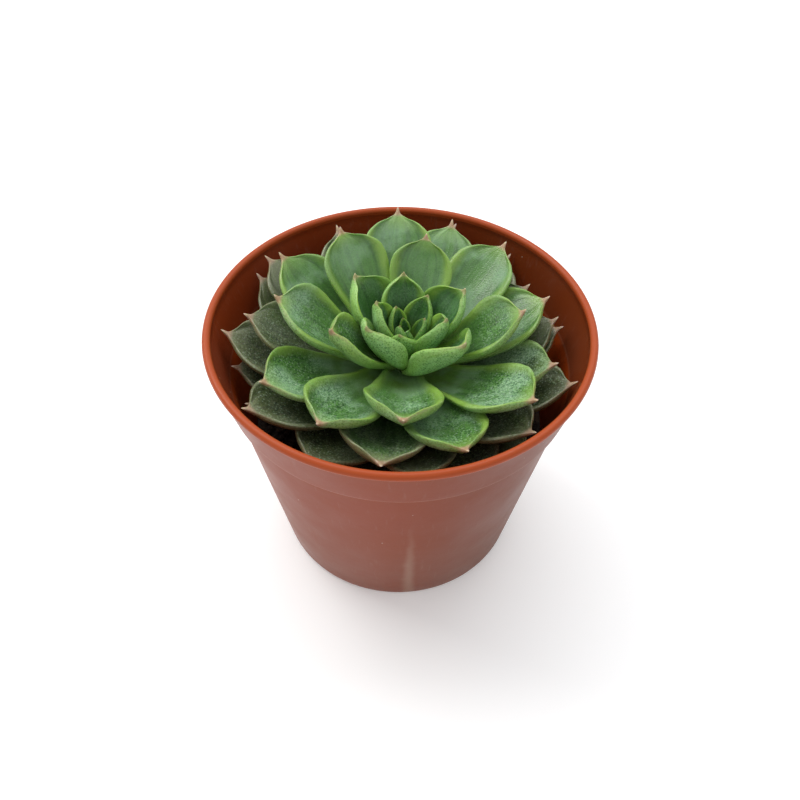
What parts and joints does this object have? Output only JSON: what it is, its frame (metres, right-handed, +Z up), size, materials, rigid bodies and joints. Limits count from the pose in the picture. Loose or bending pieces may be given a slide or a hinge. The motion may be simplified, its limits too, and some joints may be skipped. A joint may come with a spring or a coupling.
{
  "type": "potted succulent",
  "caption": "Rosette succulent with fleshy, spine-tipped leaves growing in a round tapered plastic nursery pot; it stands on a table or shelf.",
  "frame": {"origin": "centre of the pot's foot, on the surface that the pot stands on", "axes": "+Z up along the pot's axis; X and Y across the pot, and the plant leans slightly towards +X and -Y"},
  "size_m": [0.105, 0.105, 0.0912],
  "materials": {
    "pot_plastic": "moulded polypropylene, satin",
    "potting_mix": "loose peat and bark",
    "stem_bark": "young bark, matt",
    "leaf_heart": "waxy",
    "leaf_inner": "waxy",
    "leaf_outer": "waxy, dusty"
  },
  "bodies": {
    "root": {"pot": "pot_plastic", "soil": "potting_mix", "stem": "stem_bark", "leaf_01": "leaf_heart", "leaf_02": "leaf_heart", "leaf_03": "leaf_heart", "leaf_04": "leaf_heart", "leaf_05": "leaf_heart", "leaf_06": "leaf_heart", "leaf_07": "leaf_heart", "leaf_08": "leaf_heart", "leaf_09": "leaf_heart", "leaf_10": "leaf_heart", "leaf_11": "leaf_heart", "leaf_12": "leaf_heart", "leaf_13": "leaf_heart", "leaf_14": "leaf_heart", "leaf_15": "leaf_inner", "leaf_16": "leaf_inner", "leaf_17": "leaf_inner", "leaf_18": "leaf_inner", "leaf_19": "leaf_inner", "leaf_20": "leaf_inner", "leaf_21": "leaf_inner", "leaf_22": "leaf_inner", "leaf_23": "leaf_inner", "leaf_24": "leaf_inner", "leaf_25": "leaf_inner", "leaf_26": "leaf_inner", "leaf_27": "leaf_inner", "leaf_28": "leaf_inner", "leaf_29": "leaf_inner", "leaf_30": "leaf_inner", "leaf_31": "leaf_outer", "leaf_32": "leaf_outer", "leaf_33": "leaf_outer", "leaf_34": "leaf_outer", "leaf_35": "leaf_outer", "leaf_36": "leaf_outer", "leaf_37": "leaf_outer", "leaf_38": "leaf_outer", "leaf_39": "leaf_outer", "leaf_40": "leaf_outer", "leaf_41": "leaf_outer", "leaf_42": "leaf_outer", "leaf_43": "leaf_outer", "leaf_44": "leaf_outer", "leaf_45": "leaf_outer", "leaf_46": "leaf_outer", "leaf_47": "leaf_outer", "leaf_48": "leaf_outer", "leaf_49": "leaf_outer", "leaf_50": "leaf_outer", "leaf_51": "leaf_outer", "leaf_52": "leaf_outer", "leaf_53": "leaf_outer", "leaf_54": "leaf_outer", "leaf_55": "leaf_outer", "leaf_56": "leaf_outer"}
  },
  "joints": []
}
